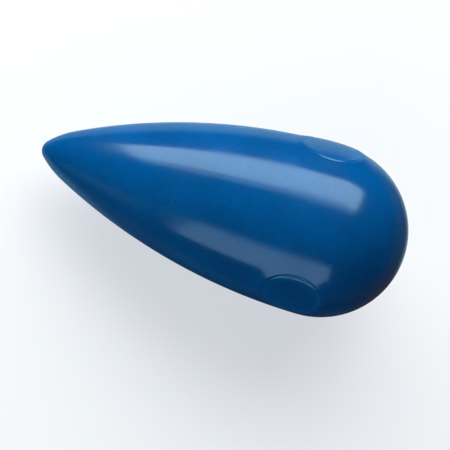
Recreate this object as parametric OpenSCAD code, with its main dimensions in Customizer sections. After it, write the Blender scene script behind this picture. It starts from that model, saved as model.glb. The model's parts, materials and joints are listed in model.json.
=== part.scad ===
// Drop-shaped wax crayon for a small hand. A pointed flank swells into a
// half-ball butt, and three round grip pads stand a little proud of the
// widest part. It is one solid moulding, and it lies on its side, tip low.

/* [Body] */
// Length over all, from the tip to the end of the butt
body_len = 65; // [56:0.5:80]
// Diameter of the widest part, which is also that of the butt
body_dia = 30; // [24:0.5:36]
// Radius of the rounded drawing tip
tip_r = 2; // [1:0.1:3]
// Angle between the axis and the skin where the tip's ball ends
tip_angle = 45; // [38:1:52]
// Radius of the arc that swells from the tip into the flank
nose_r = 16; // [10:0.5:22]

/* [Grip pads] */
// Number of pads, evenly spaced round the axis, the first one underneath
pad_count = 3; // [1:1:5]
// Radius of each pad
pad_r = 4.7; // [3:0.1:6.3]
// Height of each pad above the body
pad_rise = 0.3; // [0.1:0.05:0.6]
// Distance from the end of the butt to the middle of each pad
pad_from_butt = 17.4; // [13:0.2:24]

/* [Foot groove] */
// Width of the shallow groove that rings each pad
groove_w = 0.7; // [0.4:0.1:1.5]
// Depth of that groove below the body
groove_depth = 0.1; // [0.05:0.05:0.3]

/* [Hidden] */
$fn = 240;

body_r = body_dia / 2;
// Heights are measured up the axis from the tip. The butt is half a ball
// that starts at belly_h, where the body is widest.
belly_h = body_len - body_r;
pad_h = body_len - pad_from_butt;

// Three arcs run on from each other without a corner: the tip's ball, the
// nose and the flank. The nose leaves the ball at tip_angle.
tip_c = [0, tip_r];
tip_join_dir = [cos(tip_angle), -sin(tip_angle)];
nose_c = tip_c - (nose_r - tip_r) * tip_join_dir;

// The flank is tangent to the butt at belly_h and to the nose, and those
// two conditions give its radius.
nose_to_belly = [body_r, belly_h] - nose_c;
flank_r = (nose_to_belly * nose_to_belly - nose_r ^ 2) / (2 * (nose_to_belly[0] - nose_r));
flank_in = flank_r - body_r;
flank_c = [-flank_in, belly_h];
// Direction from the flank's centre to the point where it meets the nose
nose_join_dir = (nose_c - flank_c) / norm(nose_c - flank_c);

// Heights at which the tip's arc meets the nose and the nose meets the
// flank, on a skin that lies rise above the body
function tip_join_h(rise) = tip_c[1] + tip_join_dir[1] * (tip_r + rise);
function nose_join_h(rise) = flank_c[1] + nose_join_dir[1] * (flank_r + rise);

// Radius of that skin at height h, from the flank's arc
function flank_radius(h, rise) = sqrt((flank_r + rise) ^ 2 - (belly_h - h) ^ 2) - flank_in;

// Radius of the body itself at height h
function body_radius(h) =
    h < tip_join_h(0) ? sqrt(tip_r ^ 2 - (h - tip_r) ^ 2)
    : h < nose_join_h(0) ? nose_c[0] + sqrt(nose_r ^ 2 - (h - nose_c[1]) ^ 2)
    : h < belly_h ? flank_radius(h, 0)
    : sqrt(body_r ^ 2 - (h - belly_h) ^ 2);

// Centre of mass of the body, summed over thin slices
slices = 400;
slice_h = [for (i = [0:slices - 1]) (i + 0.5) * body_len / slices];
slice_area = [for (h = slice_h) body_radius(h) ^ 2];
mass_h = (slice_area * slice_h) / (slice_area * [for (h = slice_h) 1]);

// Lying down, the body touches the floor where the line from the flank's
// centre through the centre of mass comes out. The front rim of the pad
// underneath can reach lower than that, and then the body rests on the
// flank and on that rim, and its butt is lifted a little.
tilt_on_flank = atan((belly_h - mass_h) / flank_in);
rim_h = pad_h - pad_r;
rim_radius = flank_radius(rim_h, pad_rise);
rim_in = flank_in + rim_radius;
rim_back = belly_h - rim_h;
rim_reach = norm([rim_back, rim_in]);
tilt_on_rim = atan(rim_back / rim_in) + acos(flank_r / rim_reach);
rim_depth = rim_back * sin(tilt_on_flank) + rim_in * cos(tilt_on_flank);
rest_tilt = rim_depth > flank_r ? tilt_on_rim : tilt_on_flank;

// The origin is under the middle of the box, on the floor
lift = flank_r - belly_h * sin(rest_tilt) - flank_in * cos(rest_tilt);
front_x = tip_r * cos(rest_tilt) - tip_r;
back_x = belly_h * cos(rest_tilt) + body_r;
mid_x = (front_x + back_x) / 2;

pad_step = 360 / pad_count;
groove_r = pad_r + groove_w;

// The part of the half plane beside the axis that lies between two heights
module band(from_h, to_h) {
    translate([0, from_h]) square([body_dia, to_h - from_h]);
}

// Half outline of a skin that lies rise above the body, tip down. Each arc's
// circle lies inside the next larger one, so the pieces overlap as one face.
module outline(rise) {
    intersection() {
        union() {
            translate(tip_c) circle(tip_r + rise);
            translate([0, belly_h]) circle(body_r + rise);
            intersection() {
                translate(nose_c) circle(nose_r + rise);
                band(tip_join_h(rise), belly_h);
            }
            intersection() {
                translate(flank_c) circle(flank_r + rise);
                band(nose_join_h(rise), belly_h);
            }
        }
        band(-body_dia, body_len + body_dia);
    }
}

// Solid inside that skin
module skin(rise) {
    rotate_extrude() outline(rise);
}

// Rods from the axis out through the middle of each pad
module pad_rods(radius) {
    for (i = [0:pad_count - 1])
        rotate([0, 0, i * pad_step])
            translate([0, 0, pad_h])
                rotate([0, 90, 0])
                    cylinder(h = body_dia, r = radius);
}

// The body with its grooves, and the pads that crown them
module upright() {
    difference() {
        skin(0);
        difference() {
            pad_rods(groove_r);
            skin(-groove_depth);
        }
    }
    intersection() {
        pad_rods(pad_r);
        skin(pad_rise);
    }
}

module crayon() {
    color("#0d4f8b")
        translate([-mid_x, 0, lift])
            rotate([0, 90 - rest_tilt, 0])
                upright();
}

crayon();
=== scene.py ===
import json
import math

import bpy
from mathutils import Matrix, Vector


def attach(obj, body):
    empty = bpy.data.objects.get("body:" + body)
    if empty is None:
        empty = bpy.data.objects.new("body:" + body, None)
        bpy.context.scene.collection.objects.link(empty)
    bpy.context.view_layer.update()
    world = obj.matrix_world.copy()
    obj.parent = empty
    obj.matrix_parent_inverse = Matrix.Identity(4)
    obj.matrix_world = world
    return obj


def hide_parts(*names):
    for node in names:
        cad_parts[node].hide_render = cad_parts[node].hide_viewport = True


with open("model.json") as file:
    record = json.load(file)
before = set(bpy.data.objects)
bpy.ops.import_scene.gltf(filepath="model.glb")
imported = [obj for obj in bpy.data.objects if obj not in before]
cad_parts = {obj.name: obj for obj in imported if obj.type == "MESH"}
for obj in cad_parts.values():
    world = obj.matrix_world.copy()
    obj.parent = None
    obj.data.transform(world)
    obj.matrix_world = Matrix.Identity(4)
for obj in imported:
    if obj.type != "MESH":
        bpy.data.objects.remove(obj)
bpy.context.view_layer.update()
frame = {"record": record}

mm = 0.001

# The body is modelled in millimetres along its own axis, tip at 0, and is
# put in its place by the grip mount, which lies on that axis.
grip = frame["record"]["mounts"][0]
axisAlong = Vector(grip["axis"]).normalized()
gripMiddle = Vector(grip["pos_m"])

body = dict(
    length=65.0,        # mm, tip to butt
    diameter=30.0,      # mm, at the belly
    tipRadius=2.0,      # mm
    tipAngle=45.0,      # degrees, slope of the skin where the tip's ball ends
    noseRadius=16.0,    # mm, the arc from the tip into the flank
    sunk=0.012,         # mm, keeps the skin inside the CAD model's box
    flankRowStep=0.75,  # mm between rows of faces
    noseRowStep=2.5,    # degrees between rows on the nose
    tipRowStep=5.0,     # degrees between rows on the tip's ball
    buttRowStep=2.2,    # degrees between rows on the butt's ball
    poleSine=0.99999,   # a row tilted further than this is the end point itself
    merge=0.0001,       # mm, points closer than this are one
)

pad = dict(
    count=3,
    fromButt=17.4,      # mm, end of the butt to the pad's middle
    spokes=216,         # faces round each pad
    rise=0.28,          # mm above the body, where the pad stands highest
    flatness=0.24,      # mm, how much lower its middle is: it curves less than the body
    crownRadius=4.47,   # mm, where the crown starts to turn down
    creaseRadius=5.02,  # mm, bottom of the narrow crease round the pad
    creaseRise=0.135,   # mm above the body
    lipRadius=5.45,     # mm, top of the soft swelling outside the crease
    lipRise=0.19,       # mm above the body
    footRadius=7.6,     # mm, where the swelling runs out in the body
    wornWidth=0.9,      # mm to each side of the rim, polished by handling
    hubRadius=0.5,      # mm, the fan of triangles in the middle
    crownRings=9,       # rings over the crown, outside the hub
    crownStep=0.4,      # mm between those rings
    ringStep=0.09,      # mm between rings over the rim and crease
    ringSpare=0.2,      # mm past the foot before the rings spread out
    outerStep=0.3,      # mm between the first of the outer rings
    outerGrowth=1.25,   # times the step before
    outerStepMost=1.0,  # mm
    patchHalf=8.0,      # mm, half length of the patch that holds a pad
)


def deselectAll():
    if bpy.context.mode != "OBJECT":
        bpy.ops.object.mode_set(mode="OBJECT")
    bpy.ops.object.select_all(action="DESELECT")


# Sizes that follow from the ones above. The outline is four arcs that run on
# from each other without a corner: tip, nose, flank and butt.
bellyRadius = body["diameter"] / 2
bellyAt = body["length"] - bellyRadius
tipRadius = body["tipRadius"]
noseRadius = body["noseRadius"]
tipTilt = math.radians(body["tipAngle"])
noseMiddle = (tipRadius + (noseRadius - tipRadius) * math.sin(tipTilt),
              -(noseRadius - tipRadius) * math.cos(tipTilt))
reach = bellyAt - noseMiddle[0]
climb = bellyRadius - noseMiddle[1]
flankRadius = (reach ** 2 + climb ** 2 - noseRadius ** 2) / (2 * (climb - noseRadius))
flankMiddle = (bellyAt, bellyRadius - flankRadius)
flankTilt = math.asin(reach / (flankRadius - noseRadius))
tipJoinAt = tipRadius * (1 - math.sin(tipTilt))
noseJoinAt = bellyAt - flankRadius * math.sin(flankTilt)
padAt = body["length"] - pad["fromButt"]
poleTilt = math.pi / 2


def skinPoint(along, rise):
    # Where a point of the half outline lies, as (along, out), once it is
    # raised off the body along the body's own normal. The last row at each
    # end closes to one point on the axis.
    if along < tipJoinAt:
        middle, radius = (tipRadius, 0.0), tipRadius
    elif along < noseJoinAt:
        middle, radius = noseMiddle, noseRadius
    elif along < bellyAt:
        middle, radius = flankMiddle, flankRadius
    else:
        middle, radius = (bellyAt, 0.0), bellyRadius
    side = max(-1.0, min(1.0, (along - middle[0]) / radius))
    up = math.sqrt(1.0 - side * side) if abs(side) < body["poleSine"] else 0.0
    raised = radius + rise - body["sunk"]
    return middle[0] + raised * side, middle[1] + raised * up


def blend(low, high, x):
    x = max(0.0, min(1.0, x))
    return low + (high - low) * x * x * (3.0 - 2.0 * x)


def padRise(out):
    # Height of the skin at a distance out from a pad's middle: the crown, its
    # rounded rim, the narrow crease and the swelling outside it.
    if out <= pad["crownRadius"]:
        return pad["rise"]
    if out <= pad["creaseRadius"]:
        turn = (out - pad["crownRadius"]) / (pad["creaseRadius"] - pad["crownRadius"])
        return pad["rise"] + (pad["creaseRise"] - pad["rise"]) * turn ** 2
    if out <= pad["lipRadius"]:
        turn = (out - pad["creaseRadius"]) / (pad["lipRadius"] - pad["creaseRadius"])
        return pad["lipRise"] + (pad["creaseRise"] - pad["lipRise"]) * (1.0 - turn) ** 2
    left = max(0.0, (pad["footRadius"] - out) / (pad["footRadius"] - pad["lipRadius"]))
    return pad["lipRise"] * left ** 2


def padSag(out, aside):
    # How much lower the crown lies where it curves less than the body. It is
    # highest at its two sides, one up and one down the way round the axis.
    turn = (out - pad["crownRadius"]) / (pad["creaseRadius"] - pad["crownRadius"])
    fall = 1.0 - min(1.0, aside / pad["crownRadius"]) ** 2
    return pad["flatness"] * blend(1.0, 0.0, turn) * fall


def padRings():
    rings = [pad["hubRadius"] + pad["crownStep"] * (i + 1) for i in range(pad["crownRings"])]
    while rings[-1] < pad["footRadius"] + pad["ringSpare"]:
        rings.append(rings[-1] + pad["ringStep"])
    step = pad["outerStep"]
    corner = math.hypot(pad["patchHalf"], math.pi * bellyRadius / pad["count"])
    while rings[-1] < corner:
        rings.append(rings[-1] + step)
        step = min(step * pad["outerGrowth"], pad["outerStepMost"])
    return rings


def selectEdgesAt(mesh, along):
    # Selects the edges of the flat pattern that lie on one line across it.
    bpy.ops.object.mode_set(mode="OBJECT")
    for face in mesh.polygons:
        face.select = False
    for vertex in mesh.vertices:
        vertex.select = abs(vertex.co.x - along) < body["merge"]
    for edge in mesh.edges:
        edge.select = all(mesh.vertices[i].select for i in edge.vertices)
    bpy.ops.object.mode_set(mode="EDIT")


def extrudeRows(mesh, start, rows):
    selectEdgesAt(mesh, start)
    for here, there in zip([start] + rows, rows):
        bpy.ops.mesh.extrude_edges_move(
            TRANSFORM_OT_translate={"value": (there - here, 0, 0)})


def arcRows(fromTilt, toTilt, stepDegrees):
    # Tilts of the rows that follow an arc, the first one left out.
    count = max(1, round(math.degrees(abs(toTilt - fromTilt)) / stepDegrees))
    return [fromTilt + (toTilt - fromTilt) * (i + 1) / count for i in range(count)]


def makeCrayon():
    # One third of the skin is drawn flat, with x along the axis and y round
    # it, as rings about the pad's middle.
    deselectAll()
    rings = padRings()
    bpy.ops.mesh.primitive_circle_add(vertices=pad["spokes"], radius=pad["hubRadius"],
                                      fill_type="TRIFAN", location=(0, 0, 0))
    piece = bpy.context.object
    piece.name = "waxCrayon"
    mesh = piece.data
    bpy.ops.object.mode_set(mode="EDIT")
    bpy.ops.mesh.select_all(action="SELECT")
    bpy.ops.transform.translate(value=(padAt, 0, pad["rise"]))
    bpy.ops.mesh.select_all(action="DESELECT")
    bpy.ops.mesh.select_mode(type="EDGE")
    bpy.ops.mesh.select_non_manifold()
    middle = (padAt, 0, 0)
    for here, there in zip([pad["hubRadius"]] + rings, rings):
        bpy.ops.mesh.extrude_edges_move(
            TRANSFORM_OT_translate={"value": (0, 0, padRise(there) - padRise(here))})
        bpy.ops.transform.resize(value=(there / here, there / here, 1), center_override=middle)
    half = math.pi * bellyRadius / pad["count"]
    front, back = padAt - pad["patchHalf"], padAt + pad["patchHalf"]
    cuts = [((front, 0, 0), (-1, 0, 0)), ((back, 0, 0), (1, 0, 0)),
            ((0, half, 0), (0, 1, 0)), ((0, -half, 0), (0, -1, 0))]
    for point, normal in cuts:
        bpy.ops.mesh.select_all(action="SELECT")
        bpy.ops.mesh.bisect(plane_co=point, plane_no=normal, clear_outer=True)

    # Rows of faces run on from it to the tip and to the butt.
    count = round((front - noseJoinAt) / body["flankRowStep"])
    towardsTip = [front + (noseJoinAt - front) * (i + 1) / count for i in range(count)]
    for tilt in arcRows(flankTilt, tipTilt, body["noseRowStep"]):
        towardsTip.append(noseMiddle[0] - noseRadius * math.sin(tilt))
    for tilt in arcRows(tipTilt, poleTilt, body["tipRowStep"]):
        towardsTip.append(tipRadius - tipRadius * math.sin(tilt))
    extrudeRows(mesh, front, towardsTip)
    buttStart = math.asin((back - bellyAt) / bellyRadius)
    towardsButt = [bellyAt + bellyRadius * math.sin(tilt)
                   for tilt in arcRows(buttStart, poleTilt, body["buttRowStep"])]
    extrudeRows(mesh, back, towardsButt)

    # How far each point is worn: only the rounded rim of a pad is. Then the
    # flat third is wrapped on the body.
    bpy.ops.object.mode_set(mode="OBJECT")
    rub = mesh.attributes.new("rub", "FLOAT", "POINT")
    for vertex in mesh.vertices:
        fromPad = math.hypot(vertex.co.x - padAt, vertex.co.y)
        fromRim = abs(fromPad - pad["crownRadius"])
        rub.data[vertex.index].value = blend(1.0, 0.0, fromRim / pad["wornWidth"])
        rise = vertex.co.z - padSag(fromPad, abs(vertex.co.y))
        along, out = skinPoint(vertex.co.x, rise)
        turn = vertex.co.y / bellyRadius
        vertex.co = (along, out * math.sin(turn), -out * math.cos(turn))

    # Three thirds go round the axis, and their seams and both poles close.
    bpy.ops.object.mode_set(mode="EDIT")
    bpy.ops.mesh.select_all(action="SELECT")
    for i in range(pad["count"] - 1):
        bpy.ops.mesh.duplicate()
        bpy.ops.transform.rotate(value=2 * math.pi / pad["count"], orient_axis="X",
                                 center_override=(0, 0, 0))
    bpy.ops.mesh.select_all(action="SELECT")
    bpy.ops.mesh.remove_doubles(threshold=body["merge"])
    bpy.ops.mesh.normals_make_consistent(inside=False)
    bpy.ops.object.mode_set(mode="OBJECT")
    return piece


def placeOnAxis(piece):
    across = Vector((0, 1, 0))
    upright = axisAlong.cross(across)
    turn = Matrix((axisAlong, across, upright)).transposed().to_4x4()
    start = gripMiddle - axisAlong * padAt * mm
    piece.data.transform(Matrix.Translation(start) @ turn @ Matrix.Scale(mm, 4))
    piece.data.update()


crayon = makeCrayon()
placeOnAxis(crayon)
deselectAll()
crayon.select_set(True)
bpy.context.view_layer.objects.active = crayon
bpy.ops.object.shade_smooth()
print("crayon modelled:", len(crayon.data.polygons), "faces")


def linear(hexColour):
    parts = [int(hexColour[i:i + 2], 16) / 255 for i in (1, 3, 5)]
    return [c / 12.92 if c <= 0.04045 else ((c + 0.055) / 1.055) ** 2.4 for c in parts] + [1.0]


def addNode(tree, kind, settings=None, links=None):
    # Adds a node, sets its fields and inputs, and links what comes in. The
    # sockets of Mix and Math share their names, so they go by number.
    node = tree.nodes.new(kind)
    for name, value in (settings or {}).items():
        if isinstance(name, int) or name in node.inputs:
            node.inputs[name].default_value = value
        else:
            setattr(node, name, value)
    for name, source in (links or {}).items():
        tree.links.new(source, node.inputs[name])
    return node


# Paraffin and stearin crayon wax, cast in a polished metal mould. The wax
# gives an even, deep pigment colour with a little light passing just under
# the skin, and the mould gives a soft gloss that is never quite flat.
wax = dict(
    colour="#004580",
    cloudColour="#004b8b",  # where the pigment settled thinner
    bloomColour="#0f64a8",  # paraffin that has come to the skin
    bloom=0.05,             # share of it where it is thickest
    bloomDulling=0.5,       # roughness that a full share would add
    rubColour="#0b5c9a",    # pad rims, polished by handling
    rub=0.3,
    speckDarkening=0.08,
    roughness=0.15,
    smudgeRoughness=0.2,    # where hands have touched it
    ior=1.45,
    specular=0.75,
    highlight="#bfe6ff",
    subsurface=0.15,
    lightDepth=0.6,         # mm that light travels in the wax
    lightShares=(0.3, 0.6, 1.0),  # of that, for red, green and blue
    patterns=dict(          # size in mm, and how finely it is broken up
        cloud=(9.0, 3.0),
        speck=(0.6, 2.0),   # pigment grains, drawn coarser than real ones
        bloom=(14.0, 5.0),
        smudge=(6.0, 4.0),
        wave=(11.0, 1.0),   # from uneven cooling
        peel=(0.8, 2.0),    # mould finish, drawn coarser than real
    ),
    cloudLevels=(0.35, 0.65),   # where a pattern sets in, and where it is full
    speckLevels=(0.3, 0.7),
    bloomLevels=(0.5, 0.7),
    smudgeLevels=(0.4, 0.65),
    scuffLevels=(0.5, 0.6),
    waveHeight=0.03,        # mm
    peelHeight=0.002,       # mm
    scuffSpacing=1.6,       # mm between scuff lines
    scuffWidth=0.014,       # share of that, drawn wider than real
    scuffStretch=0.035,     # their spacing over their length
    scuffTurn=(0.3, 0.5, 0.9),  # radians, so that they run askew
    scuffDepth=0.002,       # mm
    scuffDulling=0.12,      # roughness that a scuff adds
    pitSpacing=2.6,         # mm between air pits
    pitRadius=0.14,         # mm
    pitFloor=0.4,           # share of the radius that is flat
    pitDepth=0.02,          # mm
    pitsLeftOut=0.7,        # higher leaves out more of them
)


def crayonWax():
    material = bpy.data.materials.new("crayonWaxMoulded")
    material.use_nodes = True
    tree = material.node_tree
    shader = tree.nodes["Principled BSDF"]
    place = addNode(tree, "ShaderNodeTexCoord").outputs["Object"]
    rub = addNode(tree, "ShaderNodeAttribute", {"attribute_name": "rub"}).outputs["Fac"]

    noises = {}
    for name, (size, detail) in wax["patterns"].items():
        noises[name] = addNode(tree, "ShaderNodeTexNoise",
                               {"Scale": 1 / (size * mm), "Detail": detail},
                               {"Vector": place}).outputs["Fac"]

    # What each pattern comes to: scuffs keep to patches of the bloom, specks
    # give a brightness, and smudges a roughness.
    amounts = {}
    for name, source, low, high in (
            ("scuff", "bloom", 0.0, 1.0),
            ("cloud", "cloud", 0.0, 1.0),
            ("bloom", "bloom", 0.0, wax["bloom"]),
            ("speck", "speck", 1.0 - wax["speckDarkening"], 1.0 + wax["speckDarkening"]),
            ("smudge", "smudge", wax["roughness"], wax["smudgeRoughness"])):
        start, full = wax[name + "Levels"]
        amounts[name] = addNode(tree, "ShaderNodeMapRange",
                                {"From Min": start, "From Max": full,
                                 "To Min": low, "To Max": high},
                                {"Value": noises[source]}).outputs["Result"]

    # Scuffs are thin lines where a stretched noise passes its middle value.
    turned = addNode(tree, "ShaderNodeMapping",
                     {"Rotation": wax["scuffTurn"], "Scale": (wax["scuffStretch"], 1, 1)},
                     {"Vector": place}).outputs["Vector"]
    streaks = addNode(tree, "ShaderNodeTexNoise",
                      {"Scale": 1 / (wax["scuffSpacing"] * mm), "Detail": 0.0},
                      {"Vector": turned}).outputs["Fac"]
    offMiddle = addNode(tree, "ShaderNodeMath", {"operation": "SUBTRACT", 1: 0.5},
                        {0: streaks}).outputs[0]
    distance = addNode(tree, "ShaderNodeMath", {"operation": "ABSOLUTE"},
                       {0: offMiddle}).outputs[0]
    lines = addNode(tree, "ShaderNodeMapRange",
                    {"From Min": 0.0, "From Max": wax["scuffWidth"],
                     "To Min": 1.0, "To Max": 0.0},
                    {"Value": distance}).outputs["Result"]
    scuffs = addNode(tree, "ShaderNodeMath", {"operation": "MULTIPLY"},
                     {0: lines, 1: amounts["scuff"]}).outputs[0]

    # Air pits are small dents at random points, most of which are left out.
    cells = addNode(tree, "ShaderNodeTexVoronoi", {"Scale": 1 / (wax["pitSpacing"] * mm)},
                    {"Vector": place})
    pitEdge = wax["pitRadius"] / wax["pitSpacing"]
    dents = addNode(tree, "ShaderNodeMapRange",
                    {"From Min": wax["pitFloor"] * pitEdge, "From Max": pitEdge,
                     "To Min": 1.0, "To Max": 0.0},
                    {"Value": cells.outputs["Distance"]}).outputs["Result"]
    kept = addNode(tree, "ShaderNodeMath", {"operation": "GREATER_THAN", 1: wax["pitsLeftOut"]},
                   {0: cells.outputs["Color"]}).outputs[0]
    pits = addNode(tree, "ShaderNodeMath", {"operation": "MULTIPLY"},
                   {0: dents, 1: kept}).outputs[0]

    # Colour: clouds of pigment, thin bloom, worn pad rims and fine specks.
    colour = addNode(tree, "ShaderNodeMix",
                     {"data_type": "RGBA", 6: linear(wax["colour"]),
                      7: linear(wax["cloudColour"])}, {0: amounts["cloud"]}).outputs[2]
    rubbed = addNode(tree, "ShaderNodeMath", {"operation": "MULTIPLY", 1: wax["rub"]},
                     {0: rub}).outputs[0]
    for share, over in ((amounts["bloom"], "bloomColour"), (rubbed, "rubColour")):
        colour = addNode(tree, "ShaderNodeMix", {"data_type": "RGBA", 7: linear(wax[over])},
                         {0: share, 6: colour}).outputs[2]
    colour = addNode(tree, "ShaderNodeHueSaturation",
                     links={"Value": amounts["speck"], "Color": colour}).outputs["Color"]

    # Roughness: smudges, with the scuffs and the bloom a little duller.
    dull = amounts["smudge"]
    for share, dulling in ((scuffs, "scuffDulling"), (amounts["bloom"], "bloomDulling")):
        dull = addNode(tree, "ShaderNodeMath", {"operation": "MULTIPLY_ADD", 1: wax[dulling]},
                       {0: share, 2: dull}).outputs[0]

    # Heights in millimetres are added up for one bump.
    height = None
    for source, size in ((noises["wave"], wax["waveHeight"]),
                         (noises["peel"], wax["peelHeight"]),
                         (scuffs, -wax["scuffDepth"]), (pits, -wax["pitDepth"])):
        node = addNode(tree, "ShaderNodeMath", {"operation": "MULTIPLY_ADD", 1: size, 2: 0.0},
                       {0: source})
        if height:
            tree.links.new(height, node.inputs[2])
        height = node.outputs[0]
    bump = addNode(tree, "ShaderNodeBump", {"Distance": mm}, {"Height": height})

    for socket, value in (("IOR", wax["ior"]),
                          ("Specular IOR Level", wax["specular"]),
                          ("Specular Tint", linear(wax["highlight"])),
                          ("Subsurface Weight", wax["subsurface"]),
                          ("Subsurface Radius", wax["lightShares"]),
                          ("Subsurface Scale", wax["lightDepth"] * mm)):
        shader.inputs[socket].default_value = value
    tree.links.new(colour, shader.inputs["Base Color"])
    tree.links.new(dull, shader.inputs["Roughness"])
    tree.links.new(bump.outputs["Normal"], shader.inputs["Normal"])
    return material


crayon.data.materials.clear()
crayon.data.materials.append(crayonWax())
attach(crayon, "root")
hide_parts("crayon")
print("wax done")

view = dict(
    lean=6.5,           # degrees from straight above, towards -Y
    roll=16.52,         # degrees, the butt hangs lower than the tip
    distance=157.0,     # mm
    frameWidth=77.73,   # mm across the view, at the crayon
    aimAlong=34.03,     # mm from the tip, what the middle of the view shows
    aimAcross=-3.82,    # mm from the axis, towards +Y
    sensor=36.0,        # mm
    nearest=10.0,       # mm, nothing closer is drawn
)

# The camera looks across the axis, from a little off straight above.
lean = math.radians(view["lean"])
across = Vector((0, 1, 0))
overAxis = axisAlong.cross(across)
toCamera = overAxis * math.cos(lean) - across * math.sin(lean)
sideways = toCamera.cross(axisAlong)
roll = math.radians(view["roll"])
right = axisAlong * math.cos(roll) + sideways * math.sin(roll)
above = sideways * math.cos(roll) - axisAlong * math.sin(roll)
tip = gripMiddle - axisAlong * padAt * mm
aim = tip + (axisAlong * view["aimAlong"] + sideways * view["aimAcross"]) * mm

# A sheet of pale card lies on a dim table. The sheet ends just in front of
# the crayon and beyond its butt, so it lights and mirrors in the far side and
# the tip more than elsewhere. In front of the crayon and beyond its butt the
# floor is painted dim, as painted shade for the crayon's own shadow: the crayon
# mirrors it, and it darkens the light bounced onto the crayon. The camera alone
# sees one pale floor, lifted to near white. Each band gives the axis across it,
# where it sets in and where it is full, in millimetres from the crayon's middle,
# and its colour.
floorSpec = dict(
    turn=12.0,              # degrees about the vertical, for all the bands
    firstColour="#202224",  # painted shade, darkest, far in front of the crayon
    bands=(
        ("Y", -45, -30, "#4a453f"),     # painted shade in front of the crayon, lighter near it
        ("Y", -17, -6, "#8db0bb"),      # the sheet
        ("X", 40, 62, "#4a453f"),       # painted shade beyond the butt
        ("X", -44, -64, "#2c3033"),     # the dim table beyond the tip
        ("Y", 43, 74, "#202224"),       # the dim table behind
    ),
    roughness=0.9,
    specular=0.0,
    seenColour="#9a9c9e",   # what the camera sees
    lift=0.62,              # added for the camera, where 1 is white
    liftColour="#f4f8ff",
    size=3.0,               # m
)
bpy.ops.mesh.primitive_plane_add(size=floorSpec["size"], location=(0, 0, 0))
floor = bpy.context.object
floor.name = "floor"


def floorWithPaintedShade():
    material = bpy.data.materials.new("floorPaintedShadeMatt")
    material.use_nodes = True
    tree = material.node_tree
    shader = tree.nodes["Principled BSDF"]
    shader.inputs["Roughness"].default_value = floorSpec["roughness"]
    shader.inputs["Specular IOR Level"].default_value = floorSpec["specular"]
    seen = addNode(tree, "ShaderNodeLightPath").outputs["Is Camera Ray"]
    place = addNode(tree, "ShaderNodeTexCoord").outputs["Object"]
    turned = addNode(tree, "ShaderNodeMapping",
                     {"Rotation": (0, 0, math.radians(-floorSpec["turn"]))},
                     {"Vector": place}).outputs["Vector"]
    parts = addNode(tree, "ShaderNodeSeparateXYZ", links={"Vector": turned}).outputs
    banded = None
    # The dim bands in front of the crayon and beyond its butt are painted shade for the
    # crayon's shadow. Every ray except the camera's sees them.
    for axis, start, full, bandColour in floorSpec["bands"]:
        share = addNode(tree, "ShaderNodeMapRange",
                        {"interpolation_type": "SMOOTHSTEP", "From Min": start * mm,
                         "From Max": full * mm}, {"Value": parts[axis]}).outputs["Result"]
        node = addNode(tree, "ShaderNodeMix",
                       {"data_type": "RGBA", 6: linear(floorSpec["firstColour"]),
                        7: linear(bandColour)}, {0: share})
        if banded:
            tree.links.new(banded, node.inputs[6])
        banded = node.outputs[2]
    colour = addNode(tree, "ShaderNodeMix",
                     {"data_type": "RGBA", 7: linear(floorSpec["seenColour"])},
                     {0: seen, 6: banded}).outputs[2]
    tree.links.new(colour, shader.inputs["Base Color"])
    lift = addNode(tree, "ShaderNodeMath", {"operation": "MULTIPLY", 1: floorSpec["lift"]},
                   {0: seen}).outputs[0]
    glow = addNode(tree, "ShaderNodeEmission", {"Color": linear(floorSpec["liftColour"])},
                   {"Strength": lift}).outputs[0]
    both = addNode(tree, "ShaderNodeAddShader",
                   links={0: shader.outputs[0], 1: glow}).outputs[0]
    tree.links.new(both, tree.nodes["Material Output"].inputs["Surface"])
    return material


floor.data.materials.append(floorWithPaintedShade())
print("floor done")

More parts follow.
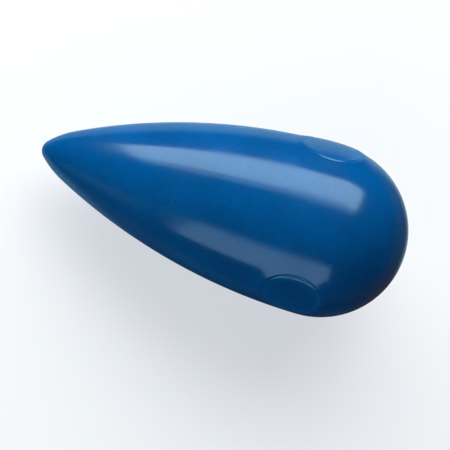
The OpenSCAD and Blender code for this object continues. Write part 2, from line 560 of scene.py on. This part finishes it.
# Two long soft boxes run beside the crayon and give its two bands of light.
# A dimmer strip beside each one softens the band's inner edge. The last two
# show in no reflection, and only brighten the far side and the lower side of
# the tip. side is the angle in degrees from the camera's side of the axis,
# away and width are in millimetres, and reach is how far each lamp goes
# towards the tip and the butt, over its distance.
lamps = dict(
    key=dict(radiance=5.2, colour="#fffef2", away=400.0, side=55.4, width=236.0,
             reach=(-0.96, 0.64), mirrored=True),
    keyEdge=dict(radiance=1.9, colour="#fffef2", away=400.0, side=35.2, width=52.0,
                 reach=(-0.9, 0.58), mirrored=True),
    fill=dict(radiance=1.9, colour="#e8f6ff", away=400.0, side=-59.2, width=220.0,
              reach=(-0.47, 0.42), mirrored=True),
    fillEdge=dict(radiance=0.8, colour="#e8f6ff", away=400.0, side=-41.2, width=34.0,
                  reach=(-0.42, 0.2), mirrored=True),
    wash=dict(radiance=3.6, colour="#ffffff", away=500.0, side=72.0, width=420.0,
              reach=(-1.2, 0.2), mirrored=False),
    low=dict(radiance=14.0, colour="#fff8e0", away=500.0, side=-64.0, width=220.0,
             reach=(-1.9, -0.8), mirrored=False),
)


def addStrip(name, spec):
    side = math.radians(spec["side"])
    facing = toCamera * math.cos(side) + sideways * math.sin(side)
    start, end = spec["reach"]
    middle = aim + (facing + axisAlong * (start + end) / 2) * spec["away"] * mm
    data = bpy.data.lights.new(name, "AREA")
    data.shape = "RECTANGLE"
    data.size = (end - start) * spec["away"] * mm
    data.size_y = spec["width"] * mm
    data.energy = spec["radiance"] * math.pi * data.size * data.size_y
    data.color = linear(spec["colour"])[:3]
    lamp = bpy.data.objects.new(name, data)
    bpy.context.scene.collection.objects.link(lamp)
    turn = Matrix((axisAlong, facing.cross(axisAlong), facing)).transposed()
    lamp.matrix_world = Matrix.Translation(middle) @ turn.to_4x4()
    lamp.visible_camera = False
    lamp.visible_glossy = spec["mirrored"]


for name, spec in lamps.items():
    addStrip(name, spec)

# The room is dim, and the camera alone sees it as a pale backdrop.
room = dict(light="#262a2e", backdrop="#f2f5f8")
world = bpy.data.worlds.new("studio")
bpy.context.scene.world = world
world.use_nodes = True
seen = addNode(world.node_tree, "ShaderNodeLightPath").outputs["Is Camera Ray"]
sky = addNode(world.node_tree, "ShaderNodeMix",
              {"data_type": "RGBA", 6: linear(room["light"]), 7: linear(room["backdrop"])},
              {0: seen}).outputs[2]
world.node_tree.links.new(sky, world.node_tree.nodes["Background"].inputs["Color"])
print("lights done")

cameraData = bpy.data.cameras.new("camera")
cameraData.sensor_width = view["sensor"]
cameraData.lens = cameraData.sensor_width * view["distance"] / view["frameWidth"]
cameraData.clip_start = view["nearest"] * mm
camera = bpy.data.objects.new("camera", cameraData)
bpy.context.scene.collection.objects.link(camera)
facing = Matrix((right, above, toCamera)).transposed().to_4x4()
camera.matrix_world = Matrix.Translation(aim + toCamera * view["distance"] * mm) @ facing
bpy.context.scene.camera = camera
bpy.context.scene.view_settings.view_transform = "Standard"
print("camera done")
